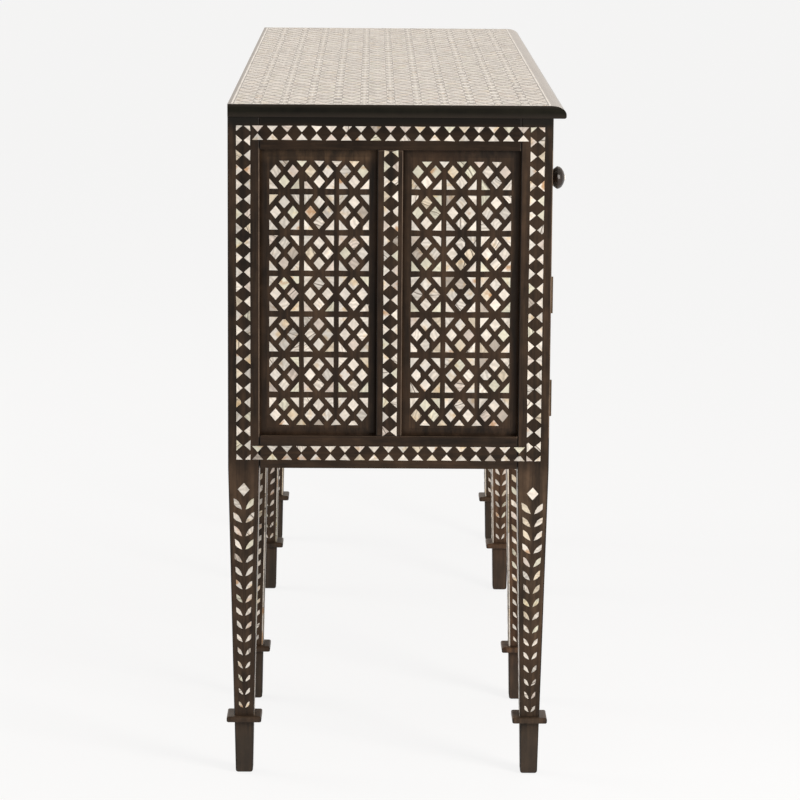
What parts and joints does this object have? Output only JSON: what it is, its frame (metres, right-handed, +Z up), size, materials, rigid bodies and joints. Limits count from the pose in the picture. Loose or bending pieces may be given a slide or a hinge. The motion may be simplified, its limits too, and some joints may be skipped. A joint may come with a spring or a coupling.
{
  "type": "inlaid sideboard",
  "caption": "Long dark-wood sideboard with mother-of-pearl lattice inlay: drawers over hinged cupboard doors, framed panel ends and tapered legs with collars.",
  "frame": {"origin": "centre of the bounding box at floor level", "axes": "+X along the length, to the right seen from the front; -Y towards the front; +Z up"},
  "size_m": [1.505, 0.4494, 0.892],
  "materials": {
    "case_wood": "dark brown rosewood, waxed, worn redder along the edges",
    "top_wood": "dark brown rosewood under clear gloss lacquer",
    "panel_wood": "dark brown rosewood, waxed",
    "inside_wood": "plain brown wood, unpolished",
    "knob_wood": "turned near-black wood, polished",
    "brass": "aged brass, brown patina",
    "pearl": "polished mother-of-pearl let into the wood"
  },
  "bodies": {
    "carcass": {"post_front_left": "case_wood", "post_inner_front_left": "case_wood", "post_back_left": "case_wood", "post_inner_back_left": "case_wood", "post_front_right": "case_wood", "post_inner_front_right": "case_wood", "post_back_right": "case_wood", "post_inner_back_right": "case_wood", "end_rail_top_left": "case_wood", "end_rail_bottom_left": "case_wood", "end_rail_top_right": "case_wood", "end_rail_bottom_right": "case_wood", "end_muntin_left": "case_wood", "end_muntin_right": "case_wood", "front_rail_top": "case_wood", "front_rail_bottom_left": "case_wood", "front_rail_bottom_centre": "case_wood", "front_rail_bottom_right": "case_wood", "drawer_divider_left": "case_wood", "drawer_divider_centre": "case_wood", "drawer_divider_right": "case_wood", "back_board": "case_wood", "top_board": "top_wood", "end_panel_left_front": "panel_wood", "end_panel_left_back": "panel_wood", "end_panel_right_front": "panel_wood", "end_panel_right_back": "panel_wood", "bottom_board": "inside_wood", "partition_left": "inside_wood", "partition_right": "inside_wood", "hinge_left_upper": "brass", "hinge_left_lower": "brass", "hinge_centre_left_upper": "brass", "hinge_centre_left_lower": "brass", "hinge_centre_right_upper": "brass", "hinge_centre_right_lower": "brass", "hinge_right_upper": "brass", "hinge_right_lower": "brass"},
    "drawer_left": {"drawer_front_left": "case_wood", "drawer_tray_left": "inside_wood", "drawer_knob_left": "knob_wood"},
    "drawer_centre": {"drawer_front_centre": "case_wood", "drawer_tray_centre": "inside_wood", "drawer_knob_centre_left": "knob_wood", "drawer_knob_centre_right": "knob_wood"},
    "drawer_right": {"drawer_front_right": "case_wood", "drawer_tray_right": "inside_wood", "drawer_knob_right": "knob_wood"},
    "door_left": {"door_frame_left": "case_wood", "door_panel_left": "panel_wood", "door_knob_left": "knob_wood"},
    "door_centre_left": {"door_frame_centre_left": "case_wood", "door_panel_centre_left": "panel_wood", "door_knob_centre_left": "knob_wood"},
    "door_centre_right": {"door_frame_centre_right": "case_wood", "door_panel_centre_right": "panel_wood", "door_knob_centre_right": "knob_wood"},
    "door_right": {"door_frame_right": "case_wood", "door_panel_right": "panel_wood", "door_knob_right": "knob_wood"}
  },
  "joints": [
    {"name": "drawer_left_slide", "type": "slide", "parent": "carcass", "child": "drawer_left", "axis": [0, -1, 0], "range_m": [0, 0.26]},
    {"name": "drawer_centre_slide", "type": "slide", "parent": "carcass", "child": "drawer_centre", "axis": [0, -1, 0], "range_m": [0, 0.26]},
    {"name": "drawer_right_slide", "type": "slide", "parent": "carcass", "child": "drawer_right", "axis": [0, -1, 0], "range_m": [0, 0.26]},
    {"name": "door_left_hinge", "type": "hinge", "parent": "carcass", "child": "door_left", "pos_m": [-0.70825, -0.19875, 0.578], "axis": [0, 0, -1], "range_deg": [0, 105]},
    {"name": "door_centre_left_hinge", "type": "hinge", "parent": "carcass", "child": "door_centre_left", "pos_m": [-0.32625, -0.19875, 0.578], "axis": [0, 0, -1], "range_deg": [0, 105]},
    {"name": "door_centre_right_hinge", "type": "hinge", "parent": "carcass", "child": "door_centre_right", "pos_m": [0.32625, -0.19875, 0.578], "axis": [0, 0, 1], "range_deg": [0, 105]},
    {"name": "door_right_hinge", "type": "hinge", "parent": "carcass", "child": "door_right", "pos_m": [0.70825, -0.19875, 0.578], "axis": [0, 0, 1], "range_deg": [0, 105]}
  ]
}
